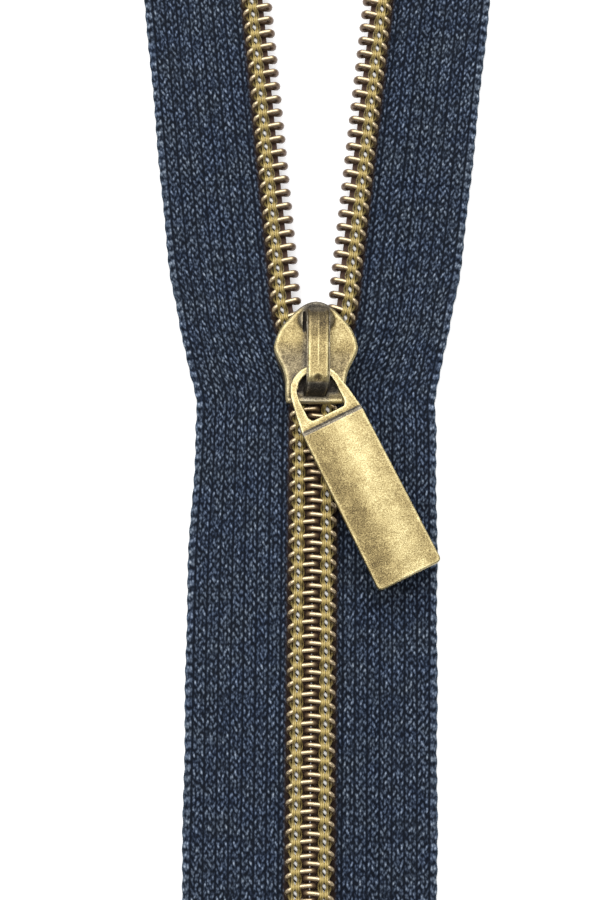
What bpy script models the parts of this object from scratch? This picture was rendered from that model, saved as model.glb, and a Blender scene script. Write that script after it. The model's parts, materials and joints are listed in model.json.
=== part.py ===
"""A nylon coil zipper, five inches, drawn part way open.

The zipper lies flat on z = 0 with its face up. +Y runs to the open (top) end and +X to the
right. Each half of the chain is drawn straight, as it lies when it is closed, and is then
turned about its joints: at the throat inside the slider, at the slider's nose, and where the
nose comes when the slider is at the top stops.
"""

from math import cos, pi, radians, sin, tan

import bmesh
import bpy
from mathutils import Euler, Matrix, Vector

MM = 0.001

# The chain, along Y
COIL_PITCH = 1.77 * MM
CHAIN_TOP = 63.35 * MM
CHAIN_BOTTOM = -63.35 * MM
TAIL = 12.0 * MM
THROAT_Y = 8.7 * MM
NOSE_Y = 18.0 * MM
SLIDE_TRAVEL = 45.0 * MM
THROAT_ANGLE = radians(15.0)
OPEN_ANGLE = radians(6.05)

# The tape's section
TAPE_INNER = 0.3 * MM
TAPE_OUTER = 15.5 * MM
TAPE_THICKNESS = 0.55 * MM
TAPE_RAISED = 1.1 * MM
TAPE_BEND_START = 5.6 * MM
TAPE_BEND_END = 9.5 * MM

# The coil, its core cord and its stitching
WIRE_RADIUS = 0.28 * MM
COIL_HEAD = -0.8 * MM
COIL_BACK = 3.0 * MM
COIL_BASE = 1.72 * MM
COIL_TOP = 3.9 * MM
CORE_INNER = 0.75 * MM
CORE_OUTER = 2.35 * MM
CORE_LOW = 2.4 * MM
CORE_HIGH = 3.2 * MM
STITCH_LOW = 3.95 * MM
STITCH_HIGH = 4.05 * MM

# The stops
STOP_LENGTH = 3.4 * MM
STOP_WIDTH = 2.8 * MM
STOP_METAL = 0.5 * MM
STOP_TOP = 3.6 * MM
STOP_GAP = 0.3 * MM

# The slider: pairs are the distance behind the nose and the half width there
SLIDER_OUTLINE = [
    (12.95, 2.7),
    (12.6, 3.64),
    (10.0, 3.8),
    (8.6, 4.15),
    (7.35, 4.76),
    (5.85, 5.23),
    (3.75, 4.58),
    (2.15, 3.35),
    (0.6, 1.72),
]
FLANGE_STRETCH = slice(1, 6)
BOTTOM_WING_TOP = 0.9 * MM
TOP_WING_BASE = 4.2 * MM
TOP_WING_TOP = 5.1 * MM
FLANGE_BASE = 1.9 * MM
FLANGE_METAL = 0.5 * MM
WINDOW_HALF_WIDTH = 0.55 * MM
WINDOW_REAR = 6.95 * MM
WINDOW_FRONT = 7.7 * MM

# The bridge: pairs are Y and Z along its side
BRIDGE_HALF_WIDTH = 1.4 * MM
BRIDGE_SIDE = [
    (16.9, 5.15),
    (16.75, 6.4),
    (15.9, 7.5),
    (14.7, 8.0),
    (8.6, 8.0),
    (7.5, 7.85),
    (6.6, 7.3),
    (6.0, 6.3),
    (5.75, 5.15),
]
ARCH_REAR = 7.0 * MM
ARCH_FRONT = 15.3 * MM
ARCH_TOP = 7.0 * MM
GROOVE_HALF_WIDTH = 0.9 * MM
GROOVE_REAR = 7.15 * MM
GROOVE_FRONT = 15.0 * MM
GROOVE_TOP = 7.4 * MM

# The lock spring
SPRING_HALF_WIDTH = 0.4 * MM
SPRING_SIDE = [
    (14.9, 6.95),
    (7.23, 6.95),
    (7.23, 4.15),
    (7.5, 4.15),
    (7.5, 6.7),
    (14.9, 6.7),
]

# The pull
PULL_PIVOT = Vector((0.0, 8.3 * MM, 5.9 * MM))
PULL_SWING = radians(27.0)
PULL_TILT = radians(2.0)
BAR_OFFSET = -0.55 * MM
BAR_RADIUS = 0.45 * MM
BAR_HALF_LENGTH = 2.25 * MM
RING_LENGTH = 6.2 * MM
RING_HALF_THICKNESS = 0.5 * MM
PLATE_HALF_WIDTH = 4.0 * MM
PLATE_LENGTH = 20.9 * MM
PLATE_HALF_THICKNESS = 0.75 * MM
PLATE_CORNER = 0.5 * MM

BRASS = ((0.43, 0.33, 0.16), 0.38, 1.0)
SPRING_STEEL = ((0.45, 0.45, 0.44), 0.3, 1.0)
NAVY_TAPE = ((0.028, 0.045, 0.085), 0.9, 0.0)
COIL_NYLON = ((0.34, 0.22, 0.09), 0.3, 0.6)
CORE_YARN = ((0.62, 0.58, 0.5), 0.6, 0.0)
GOLD_THREAD = ((0.45, 0.36, 0.12), 0.6, 0.0)

SIDES = {"left": -1, "right": 1}
TOP_HINGE_Y = THROAT_Y + SLIDE_TRAVEL
SEGMENTS = {
    "lower": (CHAIN_BOTTOM, THROAT_Y),
    "throat": (THROAT_Y, NOSE_Y),
    "middle": (NOSE_Y, TOP_HINGE_Y),
    "upper": (TOP_HINGE_Y, CHAIN_TOP),
}
ARM_END_Y = (
    THROAT_Y
    + (NOSE_Y - THROAT_Y) * cos(THROAT_ANGLE)
    + (CHAIN_TOP + TAIL - NOSE_Y) * cos(OPEN_ANGLE)
)


def clear_scene():
    for old in list(bpy.data.objects):
        bpy.data.objects.remove(old, do_unlink=True)


def new_collection(name):
    collection = bpy.data.collections.new(name)
    bpy.context.scene.collection.children.link(collection)
    return collection


def make_material(name, look):
    colour, roughness, metallic = look
    material = bpy.data.materials.new(name)
    material.use_nodes = True
    shader = material.node_tree.nodes["Principled BSDF"]
    shader.inputs["Base Color"].default_value = (*colour, 1.0)
    shader.inputs["Roughness"].default_value = roughness
    shader.inputs["Metallic"].default_value = metallic
    return material


def add_object(name, data, look, parent=None):
    """Link a named object with its own material, its origin on its parent's axis."""
    obj = bpy.data.objects.new(name, data)
    parts.objects.link(obj)
    data.materials.clear()
    data.materials.append(make_material(name, look))
    obj.parent = parent
    return obj


def add_axis(name, location, rotation=(0.0, 0.0, 0.0), parent=None):
    """Add the empty that stands on a joint's axis."""
    axis = bpy.data.objects.new(name, None)
    axis.location = location
    axis.rotation_euler = rotation
    axis.parent = parent
    parts.objects.link(axis)
    return axis


def mesh_of_curve(curve):
    """Turn a curve drawn in millimetres into a closed mesh in metres and remove the curve."""
    holder = bpy.data.objects.new("curve_holder", curve)
    cutters.objects.link(holder)
    graph = bpy.context.evaluated_depsgraph_get()
    mesh = bpy.data.meshes.new_from_object(holder.evaluated_get(graph))
    bpy.data.objects.remove(holder)
    bpy.data.curves.remove(curve)
    shape = bmesh.new()
    shape.from_mesh(mesh)
    bmesh.ops.remove_doubles(shape, verts=shape.verts, dist=0.001)
    bmesh.ops.recalc_face_normals(shape, faces=shape.faces)
    bmesh.ops.scale(shape, vec=(MM, MM, MM), verts=shape.verts)
    shape.to_mesh(mesh)
    shape.free()
    return mesh


def outline_mesh(points, low, high, smooth=False):
    """A flat outline in XY, filled and extruded from low to high along Z."""
    curve = bpy.data.curves.new("outline", "CURVE")
    curve.dimensions = "2D"
    curve.fill_mode = "BOTH"
    curve.extrude = (high - low) / 2 / MM
    curve.resolution_u = 3
    spline = curve.splines.new("BEZIER" if smooth else "POLY")
    places = spline.bezier_points if smooth else spline.points
    places.add(len(points) - 1)
    for place, (x, y) in zip(places, points):
        if smooth:
            place.co = (x / MM, y / MM, 0)
            place.handle_left_type = place.handle_right_type = "AUTO"
        else:
            place.co = (x / MM, y / MM, 0, 1)
    spline.use_cyclic_u = True
    mesh = mesh_of_curve(curve)
    mesh.transform(Matrix.Translation((0, 0, (low + high) / 2)))
    return mesh


def side_mesh(points, half_width):
    """An outline of (Y, Z) pairs in millimetres, extruded half_width both ways along X."""
    outline = [(y * MM, z * MM) for y, z in points]
    mesh = outline_mesh(outline, -half_width, half_width)
    mesh.transform(Euler((pi / 2, 0, pi / 2)).to_matrix().to_4x4())
    return mesh


def box_mesh(low, high):
    low, high = Vector(low), Vector(high)
    shape = bmesh.new()
    bmesh.ops.create_cube(shape, size=1.0)
    bmesh.ops.scale(shape, vec=high - low, verts=shape.verts)
    bmesh.ops.translate(shape, vec=(low + high) / 2, verts=shape.verts)
    mesh = bpy.data.meshes.new("box")
    shape.to_mesh(mesh)
    shape.free()
    return mesh


def combine(obj, meshes, operation):
    """Join meshes to an object, or cut them from it, with exact Booleans."""
    for number, mesh in enumerate(meshes):
        cutter = bpy.data.objects.new(f"{obj.name}_{operation.lower()}_{number}", mesh)
        cutter.hide_render = True
        cutter.display_type = "WIRE"
        cutter.parent = obj.parent
        cutters.objects.link(cutter)
        boolean = obj.modifiers.new(cutter.name, "BOOLEAN")
        boolean.operation = operation
        boolean.object = cutter


def tape_mesh(side, low, high, low_skew, high_skew):
    """The underside of one tape as an open sheet; its ends lean by the two skews."""
    section = [
        (TAPE_INNER, TAPE_RAISED),
        (TAPE_BEND_START, TAPE_RAISED),
        (TAPE_BEND_END, 0.0),
        (TAPE_OUTER, 0.0),
    ]
    shape = bmesh.new()
    bmesh.ops.create_grid(shape, x_segments=len(section) - 1, y_segments=1, size=1.0)
    for vert in shape.verts:
        column = round((side * vert.co.x + 1) / 2 * (len(section) - 1))
        across, height = section[column]
        if vert.co.y < 0:
            along = low + across * tan(low_skew)
        else:
            along = high + across * tan(high_skew)
        vert.co = (side * across, along, height)
    mesh = bpy.data.meshes.new("tape")
    shape.to_mesh(mesh)
    shape.free()
    return mesh


def coil_curve(side, low, high):
    """A flattened helix: heads past the centre line, four corners to a turn."""
    start = COIL_PITCH * (0.25 if side > 0 else 0.75)
    margin = 0.4 * COIL_PITCH
    first = int((low + margin - start) // COIL_PITCH) + 1
    last = int((high - margin - start) // COIL_PITCH)
    head = side * (COIL_HEAD + WIRE_RADIUS)
    back = side * (COIL_BACK - WIRE_RADIUS)
    base = COIL_BASE + WIRE_RADIUS
    top = COIL_TOP - WIRE_RADIUS
    points = []
    for turn in range(first, last):
        y = start + turn * COIL_PITCH
        points.append((head, y, top))
        points.append((head, y, base))
        points.append((back, y + 0.3 * COIL_PITCH, base))
        points.append((back, y + 0.8 * COIL_PITCH, top))
    points.append((head, start + last * COIL_PITCH, top))
    curve = bpy.data.curves.new("coil", "CURVE")
    curve.dimensions = "3D"
    curve.bevel_depth = WIRE_RADIUS / MM
    curve.bevel_resolution = 0
    curve.use_fill_caps = True
    spline = curve.splines.new("POLY")
    spline.points.add(len(points) - 1)
    for place, point in zip(spline.points, points):
        place.co = (*(Vector(point) / MM), 1)
    return curve


def strip_mesh(side, low, high, inner, outer, base, top):
    """A straight strip along one half of the chain."""
    across = sorted((side * inner, side * outer))
    return box_mesh((across[0], low, base), (across[1], high, top))


def make_tape(side, side_name, segment, axis, pivot_y):
    low, high = SEGMENTS[segment]
    low_skew = high_skew = 0.0
    if segment == "lower":
        low = -ARM_END_Y
    if segment == "throat":
        low_skew = THROAT_ANGLE
    if segment == "middle":
        low_skew = OPEN_ANGLE - THROAT_ANGLE
    if segment == "upper":
        high += TAIL
    low += 0 if segment == "lower" else STOP_GAP / 2
    high -= 0 if segment == "upper" else STOP_GAP / 2
    mesh = tape_mesh(side, low - pivot_y, high - pivot_y, low_skew, high_skew)
    tape = add_object(f"tape_{segment}_{side_name}", mesh, NAVY_TAPE, axis)
    solidify = tape.modifiers.new("thickness", "SOLIDIFY")
    solidify.thickness = TAPE_THICKNESS
    solidify.offset = 1.0


def make_chain(side, side_name, segment, axis, pivot_y):
    """The coil of one segment, with its core cord and the stitching that holds it."""
    low, high = (y - pivot_y for y in SEGMENTS[segment])
    shift = Matrix.Translation((0, -pivot_y, 0))
    coil = mesh_of_curve(coil_curve(side, *SEGMENTS[segment]))
    coil.transform(shift)
    add_object(f"coil_{segment}_{side_name}", coil, COIL_NYLON, axis)
    end_gap = 0.5 * MM
    core = strip_mesh(
        side, low + end_gap, high - end_gap, CORE_INNER, CORE_OUTER, CORE_LOW, CORE_HIGH
    )
    add_object(f"core_cord_{segment}_{side_name}", core, CORE_YARN, axis)
    stitch = strip_mesh(
        side, low + end_gap, high - end_gap, CORE_INNER, CORE_OUTER, STITCH_LOW, STITCH_HIGH
    )
    add_object(f"stitching_{segment}_{side_name}", stitch, GOLD_THREAD, axis)


def make_halves():
    """Both halves of the zipper, each segment under the empty on its joint's axis."""
    axes = {}
    for side_name, side in SIDES.items():
        turns = {
            "throat": -side * THROAT_ANGLE,
            "middle": side * (THROAT_ANGLE - OPEN_ANGLE),
            "upper": 0.0,
        }
        axis, pivot_y = None, 0.0
        for segment, (low, _) in SEGMENTS.items():
            if segment != "lower":
                place = (0, low - pivot_y, 0)
                turn = (0, 0, turns[segment])
                axis = add_axis(f"{segment}_{side_name}_axis", place, turn, axis)
                pivot_y = low
            make_tape(side, side_name, segment, axis, pivot_y)
            make_chain(side, side_name, segment, axis, pivot_y)
        axes[side_name] = (axis, pivot_y)
    return axes


def make_top_stop(side, side_name, axis, pivot_y):
    """A metal clamp folded over the tape's edge just above the last turn."""
    tape_low = TAPE_RAISED - 0.12 * MM
    tape_high = TAPE_RAISED + TAPE_THICKNESS + 0.12 * MM
    web_outer, web_inner = -0.35 * MM, 0.15 * MM
    section = [
        (web_outer, tape_low - STOP_METAL),
        (STOP_WIDTH, tape_low - STOP_METAL),
        (STOP_WIDTH, tape_low),
        (web_inner, tape_low),
        (web_inner, tape_high),
        (STOP_WIDTH, tape_high),
        (STOP_WIDTH, STOP_TOP - 0.4 * MM),
        (STOP_WIDTH - 0.5 * MM, STOP_TOP),
        (web_outer + 0.5 * MM, STOP_TOP),
        (web_outer, STOP_TOP - 0.4 * MM),
    ]
    mesh = outline_mesh([(side * x, z) for x, z in section], 0, STOP_LENGTH)
    mesh.transform(Euler((pi / 2, 0, 0)).to_matrix().to_4x4())
    end = CHAIN_TOP + STOP_GAP + STOP_LENGTH - pivot_y
    mesh.transform(Matrix.Translation((0, end, 0)))
    add_object(f"top_stop_{side_name}", mesh, BRASS, axis)


def make_bottom_stop():
    """A clamp across both coils: a plate above and below, and a web between the tapes."""
    tape_low = TAPE_RAISED - 0.12 * MM
    tape_high = TAPE_RAISED + TAPE_THICKNESS + 0.12 * MM
    web = TAPE_INNER - 0.12 * MM
    half = [
        (web, tape_high),
        (STOP_WIDTH, tape_high),
        (STOP_WIDTH, STOP_TOP - 0.5 * MM),
        (STOP_WIDTH - 0.6 * MM, STOP_TOP),
    ]
    lower = [
        (STOP_WIDTH, tape_low - STOP_METAL),
        (STOP_WIDTH, tape_low),
        (web, tape_low),
    ]
    right = lower + half
    left = [(-x, z) for x, z in reversed(right)]
    mesh = outline_mesh(right + left, 0, STOP_LENGTH)
    mesh.transform(Euler((pi / 2, 0, 0)).to_matrix().to_4x4())
    mesh.transform(Matrix.Translation((0, CHAIN_BOTTOM - STOP_GAP, 0)))
    add_object("bottom_stop", mesh, BRASS)


def slider_points():
    """The slider's outline in plan, anticlockwise from the right end of its rear edge."""
    half = [(width * MM, NOSE_Y - back * MM) for back, width in SLIDER_OUTLINE]
    return half + [(0.0, NOSE_Y)] + [(-x, y) for x, y in reversed(half)]


def flange_mesh(side):
    """The wall that hangs from the top wing beside the coil, from the rear to the shoulder."""
    wall = [(width * MM, NOSE_Y - back * MM) for back, width in SLIDER_OUTLINE[FLANGE_STRETCH]]
    outer = [(side * (x - 0.12 * MM), y) for x, y in wall]
    inner = [(side * (x - FLANGE_METAL), y) for x, y in reversed(wall)]
    return outline_mesh(outer + inner, FLANGE_BASE, TOP_WING_BASE + 0.1 * MM)


def post_mesh():
    """The wedge at the nose that parts the two coils and joins the wings."""
    half = [(0.2, 14.0), (0.95, 16.6), (0.85, 17.2), (0.45, 17.6)]
    right = [(x * MM, y * MM) for x, y in half]
    left = [(-x, y) for x, y in reversed(right)]
    return outline_mesh(right + left, BOTTOM_WING_TOP - 0.1 * MM, TOP_WING_BASE + 0.1 * MM)


def make_slider(axis):
    """Two wings joined by the wedge post, with side flanges and the lock's window."""
    outline = slider_points()
    body = add_object(
        "slider_body", outline_mesh(outline, 0.0, BOTTOM_WING_TOP, smooth=True), BRASS, axis
    )
    top_wing = outline_mesh(outline, TOP_WING_BASE, TOP_WING_TOP, smooth=True)
    joined = [post_mesh(), top_wing, flange_mesh(-1), flange_mesh(1)]
    window = box_mesh(
        (-WINDOW_HALF_WIDTH, WINDOW_REAR, TOP_WING_BASE - 0.2 * MM),
        (WINDOW_HALF_WIDTH, WINDOW_FRONT, TOP_WING_TOP + 0.2 * MM),
    )
    for mesh in joined + [window, body.data]:
        mesh.transform(Matrix.Translation((0, -THROAT_Y, 0)))
    combine(body, joined, "UNION")
    combine(body, [window], "DIFFERENCE")


def make_bridge(axis):
    """The arched crown that the pull hangs under, grooved below for the lock spring."""
    bridge = add_object(
        "slider_bridge", side_mesh(BRIDGE_SIDE, BRIDGE_HALF_WIDTH), BRASS, axis
    )
    beyond = BRIDGE_HALF_WIDTH + MM
    arch = box_mesh((-beyond, ARCH_REAR, TOP_WING_BASE), (beyond, ARCH_FRONT, ARCH_TOP))
    groove = box_mesh(
        (-GROOVE_HALF_WIDTH, GROOVE_REAR, TOP_WING_TOP),
        (GROOVE_HALF_WIDTH, GROOVE_FRONT, GROOVE_TOP),
    )
    for mesh in (bridge.data, arch, groove):
        mesh.transform(Matrix.Translation((0, -THROAT_Y, 0)))
    combine(bridge, [arch, groove], "DIFFERENCE")


def make_lock_spring(slider_axis):
    """A strip under the bridge with a pin that drops through the top wing's window."""
    front, height = SPRING_SIDE[0][0] * MM, SPRING_SIDE[0][1] * MM
    axis = add_axis("lock_spring_axis", (0, front - THROAT_Y, height), parent=slider_axis)
    mesh = side_mesh(SPRING_SIDE, SPRING_HALF_WIDTH)
    mesh.transform(Matrix.Translation((0, -front, -height)))
    add_object("lock_spring", mesh, SPRING_STEEL, axis)


def plate_points():
    """The pull's plate in its own plane, rounded at the corners; -Y runs to its free end."""
    inset = PLATE_HALF_WIDTH - PLATE_CORNER
    near, far = -RING_LENGTH, -RING_LENGTH - PLATE_LENGTH
    corners = [(inset, near, 0), (-inset, near, 90), (-inset, far, 180), (inset, far, 270)]
    points = []
    for x, y, turn in corners:
        y += PLATE_CORNER if y == far else -PLATE_CORNER
        for step in range(4):
            angle = radians(turn + 30 * step)
            points.append((x + PLATE_CORNER * cos(angle), y + PLATE_CORNER * sin(angle)))
    return points


def ring_points():
    """The pull's two legs and the bar of the ring nearest the plate, open at the cross bar."""
    half = [
        (2.5, -4.75),
        (2.4, -2.6),
        (2.3, 0.25),
        (2.5, 0.5),
        (2.8, 0.4),
        (3.1, -0.4),
        (3.6, -3.0),
        (4.0, -6.5),
    ]
    right = [(x * MM, y * MM) for x, y in half]
    left = [(-x, y) for x, y in reversed(right)]
    return left + [(-2.1 * MM, -4.95 * MM), (2.1 * MM, -4.95 * MM)] + right


def make_pull(slider_axis):
    """The cross bar under the bridge, and the pull that turns on it."""
    pivot = PULL_PIVOT - Vector((0, THROAT_Y, 0))
    swing = add_axis("pull_swing_axis", pivot, (0, 0, PULL_SWING), slider_axis)
    shape = bmesh.new()
    bmesh.ops.create_cone(
        shape,
        cap_ends=True,
        segments=16,
        radius1=BAR_RADIUS,
        radius2=BAR_RADIUS,
        depth=2 * BAR_HALF_LENGTH,
        matrix=Euler((0, pi / 2, 0)).to_matrix().to_4x4(),
    )
    bmesh.ops.translate(shape, vec=(BAR_OFFSET, 0, 0), verts=shape.verts)
    bar = bpy.data.meshes.new("bar")
    shape.to_mesh(bar)
    shape.free()
    add_object("pull_bar", bar, BRASS, swing).data.shade_smooth()

    flip = add_axis("pull_flip_axis", (BAR_OFFSET, 0, 0), (PULL_TILT, 0, 0), swing)
    plate = outline_mesh(plate_points(), -PLATE_HALF_THICKNESS, PLATE_HALF_THICKNESS)
    pull = add_object("pull_tab", plate, BRASS, flip)
    ring = outline_mesh(ring_points(), -RING_HALF_THICKNESS, RING_HALF_THICKNESS)
    combine(pull, [ring], "UNION")


clear_scene()
parts = new_collection("coil_zipper")
cutters = new_collection("coil_zipper_cutters")
for name, (upper_axis, upper_y) in make_halves().items():
    make_top_stop(SIDES[name], name, upper_axis, upper_y)
make_bottom_stop()
slide_axis = add_axis("slider_axis", (0, THROAT_Y, 0))
make_slider(slide_axis)
make_bridge(slide_axis)
make_lock_spring(slide_axis)
make_pull(slide_axis)
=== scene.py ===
"""The looks of a coil zipper, drawn part way open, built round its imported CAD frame.

Lengths are worked out in millimetres and turned into metres when a piece is made. Tape, coil,
cord and thread are first laid out as they lie with the zipper closed and straight.
"""

import json
from math import asin, ceil, cos, floor, pi, radians, sin, tan

import bmesh
import bpy
import numpy as np
from mathutils import Matrix, Vector


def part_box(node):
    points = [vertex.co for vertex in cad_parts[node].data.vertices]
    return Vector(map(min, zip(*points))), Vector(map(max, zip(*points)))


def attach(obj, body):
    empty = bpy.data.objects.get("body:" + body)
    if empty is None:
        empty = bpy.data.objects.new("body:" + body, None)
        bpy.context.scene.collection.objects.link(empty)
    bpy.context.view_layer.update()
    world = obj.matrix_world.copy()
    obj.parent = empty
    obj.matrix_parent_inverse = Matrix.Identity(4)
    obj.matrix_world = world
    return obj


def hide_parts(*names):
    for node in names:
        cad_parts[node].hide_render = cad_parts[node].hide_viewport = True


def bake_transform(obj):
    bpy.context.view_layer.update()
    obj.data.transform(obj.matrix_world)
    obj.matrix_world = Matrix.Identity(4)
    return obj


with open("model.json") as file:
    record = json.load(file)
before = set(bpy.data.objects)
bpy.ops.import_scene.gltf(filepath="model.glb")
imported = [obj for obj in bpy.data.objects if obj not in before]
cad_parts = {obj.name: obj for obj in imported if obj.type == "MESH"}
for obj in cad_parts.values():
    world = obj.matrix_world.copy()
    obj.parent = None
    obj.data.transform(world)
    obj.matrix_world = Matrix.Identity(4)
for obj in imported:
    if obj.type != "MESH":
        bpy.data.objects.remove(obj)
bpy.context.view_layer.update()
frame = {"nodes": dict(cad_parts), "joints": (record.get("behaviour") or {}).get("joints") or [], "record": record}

MM = 0.001
SIDES = {"left": -1, "right": 1}
JOINTS = {joint["name"]: joint for joint in frame["joints"]}
COUPLINGS = {c["joint"]: c for c in frame["record"]["behaviour"]["couplings"]}
TRAVEL = JOINTS["slider_slide"]["range_m"][1]


def box_mm(node):
    """A CAD node's lowest and highest corner, in millimetres."""
    low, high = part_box(node)
    return np.array(low) / MM, np.array(high) / MM


# The chain
COIL_PITCH = 1.77
HEAD_SHIFT = {"left": 0.61, "right": 0.11}
CHAIN_LOW = -63.35
CHAIN_HIGH = 63.35
YARN_END_GAP = 0.4
NOSE_Y = box_mm("slider_body")[1][1]

# Where each half is cut into blended stretches, and how far from its joint each one bends
FIRST_CUT = 13.4
SECOND_CUT = 36.0
REACH = {"throat": 4.5, "middle": 3.8, "upper": 4.5}
STRETCHES = {
    "lower": ("chain_base", "throat"),
    "middle": ("throat", "middle"),
    "upper": ("middle", "upper"),
}
REPLACED = {"lower": ("lower", "throat"), "middle": ("middle",), "upper": ("upper",)}
UNBEND_ROUNDS = 40

# The kinds of piece along each half, with the CAD node and the material slot of each
ALONG_THE_CHAIN = {
    "cloth": ("tape", "navy_tape"),
    "wire": ("coil", "coil_nylon"),
    "cord": ("core_cord", "core_yarn"),
    "stitches": ("stitching", "gold_thread"),
}

# The knitted tape
TAPE_LOW = box_mm("tape_lower_right")[0][1]
TAPE_HIGH = 75.35
TAPE_INNER = 0.3
TAPE_OUTER = box_mm("tape_lower_right")[1][0]
TAPE_THICKNESS = 0.55
TAPE_RAISED = 1.1
COLUMN = 0.51
RIB = 3 * COLUMN
LOOP = 1.09
FLOAT_HALF_LENGTH = 0.50
FLOAT_HALF_WIDTH = 0.185
RELIEF = 0.15
EDGE_BAND_START = TAPE_OUTER - 0.96
EDGE_LOOP = 1.33
GRID_ACROSS = 0.115
GRID_ALONG = 0.165
UNDERSIDE_COLUMNS = 12
THROAT_WAIST = {"left": 0.75, "right": 0.1}
NOSE_WAIST = 0.65
CLOSED_INSET = 0.24
KNIT_SEED = {"left": 11, "right": 7}

# One turn of the coil seen from its head: x from the chain's centre, y along it, z, radius
COIL_TURN = [
    (-0.36, 0.02, 3.36, 0.34),
    (-0.42, 0.00, 2.86, 0.45),
    (-0.34, -0.02, 2.30, 0.40),
    (0.30, 0.10, 2.00, 0.30),
    (1.20, 0.22, 2.00, 0.28),
    (2.10, 0.42, 2.02, 0.28),
    (2.62, 0.62, 2.24, 0.28),
    (2.76, 0.80, 2.66, 0.27),
    (2.76, 0.96, 3.12, 0.28),
    (2.58, 1.14, 3.46, 0.30),
    (2.20, 1.36, 3.58, 0.29),
    (1.70, 1.55, 3.60, 0.29),
    (1.00, 1.68, 3.60, 0.30),
    (0.30, 1.76, 3.60, 0.30),
    (-0.14, 1.79, 3.58, 0.31),
]
COIL_CENTRE = (1.15, 2.8)
COIL_SAMPLES = 3
COIL_SIDES = 10

# Cord and thread
YARN_STEPS = 16
YARN_SIDES = 8
CORD_CENTRE = (1.70, 2.92)
PLY_OFFSET = 0.32
PLY_RADIUS = 0.25
THREAD_COLUMNS = (1.36, 2.12)

# The slider: pairs are the distance behind the nose and the half width there
SLIDER_OUTLINE = [
    (12.95, 2.7), (12.6, 3.64), (10.0, 3.8), (8.6, 4.15), (7.35, 4.76),
    (5.85, 5.23), (3.75, 4.58), (2.15, 3.35), (0.6, 1.72),
]
BOTTOM_WING_TOP = 0.9
TOP_WING_BASE = 4.2
TOP_WING_TOP = 5.1
WING_OVERLAP = 0.2
FLANGE_BASE = 1.9
FLANGE_EDGES = (0.12, 0.5)
POST_SIDE = [(0.2, 14.0), (0.95, 16.6), (0.85, 17.2), (0.45, 17.6)]
HOOD_Y = NOSE_Y - 2.4
HOOD_Z = 4.95
HOOD_RADII = (2.4, 1.8, 0.8)
SLOT_X = -1.5
SLOT_FLOOR = 5.05

# The bridge: pairs are y and z
BRIDGE_HALF_WIDTH = 1.42
BRIDGE_OUTER = [
    (17.0, 4.9), (16.9, 5.6), (16.6, 6.6), (15.9, 7.5), (14.7, 7.95), (11.6, 8.0),
    (8.6, 8.0), (7.5, 7.82), (6.6, 7.2), (6.05, 6.2), (5.75, 4.9),
]
BRIDGE_INNER = [(6.95, 4.9), (6.95, 7.0), (7.4, 7.45), (14.8, 7.45), (15.3, 6.9), (15.3, 4.9)]
BRIDGE_MIDDLE_Y = 11.3
DIMPLE_Y = 7.6

# How far the slider and its bridge lean to the right for each millimetre above LEAN_BASE
LEAN_BASE = 2.0
SLIDER_LEAN = 0.075
BRIDGE_LEAN = 0.09

# How far the bridge's rear stands back from the ring's leg, which swings past it
ROOM_FOR_LEG = 0.15

# The pull, in its own frame: the cross bar lies along x, and the plate's free end is towards -y
PLATE_TOP = 0.75
PLATE_NEAR = -5.8
PLATE_FAR = -27.5
PLATE_HALF_WIDTH = 4.0
PLATE_CORNER = 0.5
PLATE_WIDENING = (1.012, 0.055)
RING_TOP = 0.5
RING_BAR = (-6.4, -5.05)
LEG_OUTER = [
    (2.39, 0.34), (2.64, 0.05), (2.9, -0.43), (3.2, -1.2),
    (3.37, -2.0), (3.72, -4.0), (3.98, -5.9), (4.0, -6.4),
]
LEG_INNER = [
    (2.38, -4.7), (2.46, -4.2), (2.46, -3.2), (2.42, -2.0),
    (2.34, -1.3), (2.18, -0.8), (1.97, -0.52), (1.74, -0.34),
]
ARCH = [
    (-2.25, -0.35), (-2.05, 0.0), (-1.69, 0.37), (-0.8, 0.8), (0.0, 0.9),
    (0.8, 0.8), (1.69, 0.37), (2.05, 0.0), (2.25, -0.35),
]
ARCH_HALF_WIDTH = 0.46
ARCH_TOP = 0.48

# The metal's skin
VOXEL = 0.1
SMOOTHING_ROUNDS = 2
SMOOTHING = 0.6
WEAR_REACH = 14
CAST_WEAR = 4.0
STAMPED_WEAR = 9.0
STOP_ROUNDING = 0.14
SPRING_ROUNDING = 0.04
FITTING_WEAR = 0.55
FITTING_STAIN = 0.08

# The room and the camera, in metres
FLOOR_HALF = 3.0
FLOOR_DROP = 0.00004
FLOOR_GLOW = 0.3
WORLD_COLOUR = (0.93, 0.96, 1.0, 1.0)
WORLD_LIGHT = 0.32
LAMP_PLACE = Vector((-0.10, 0.28, 0.7))
LAMP_SIZE = (1.2, 1.0)
LAMP_POWER = 10.0
CAMERA_LENS = 95.6
CAMERA_AIM = Vector((-0.66 * MM, 0, 0))
CAMERA_ELEVATION = radians(80)
CAMERA_DISTANCE = 0.3
CAMERA_ROLL = radians(0.51)


# Geometry helpers


def spline(points, samples, closed=False):
    """A Catmull-Rom curve through points, with the same number of samples for each span."""
    points = np.asarray(points, float)
    if closed:
        padded = np.vstack([points[-1:], points, points[:2]])
    else:
        padded = np.vstack([2 * points[0] - points[1], points, 2 * points[-1] - points[-2]])
    a, b, c, d = padded[:-3], padded[1:-2], padded[2:-1], padded[3:]
    steps = np.arange(samples) / samples
    t = steps[None, :, None]
    a, b, c, d = (x[:, None, :] for x in (a, b, c, d))
    curve = 0.5 * (
        2 * b + (c - a) * t + (2 * a - 5 * b + 4 * c - d) * t**2 + (3 * b - a - 3 * c + d) * t**3
    )
    curve = curve.reshape(-1, points.shape[1])
    return curve if closed else np.vstack([curve, points[-1:]])


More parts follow.
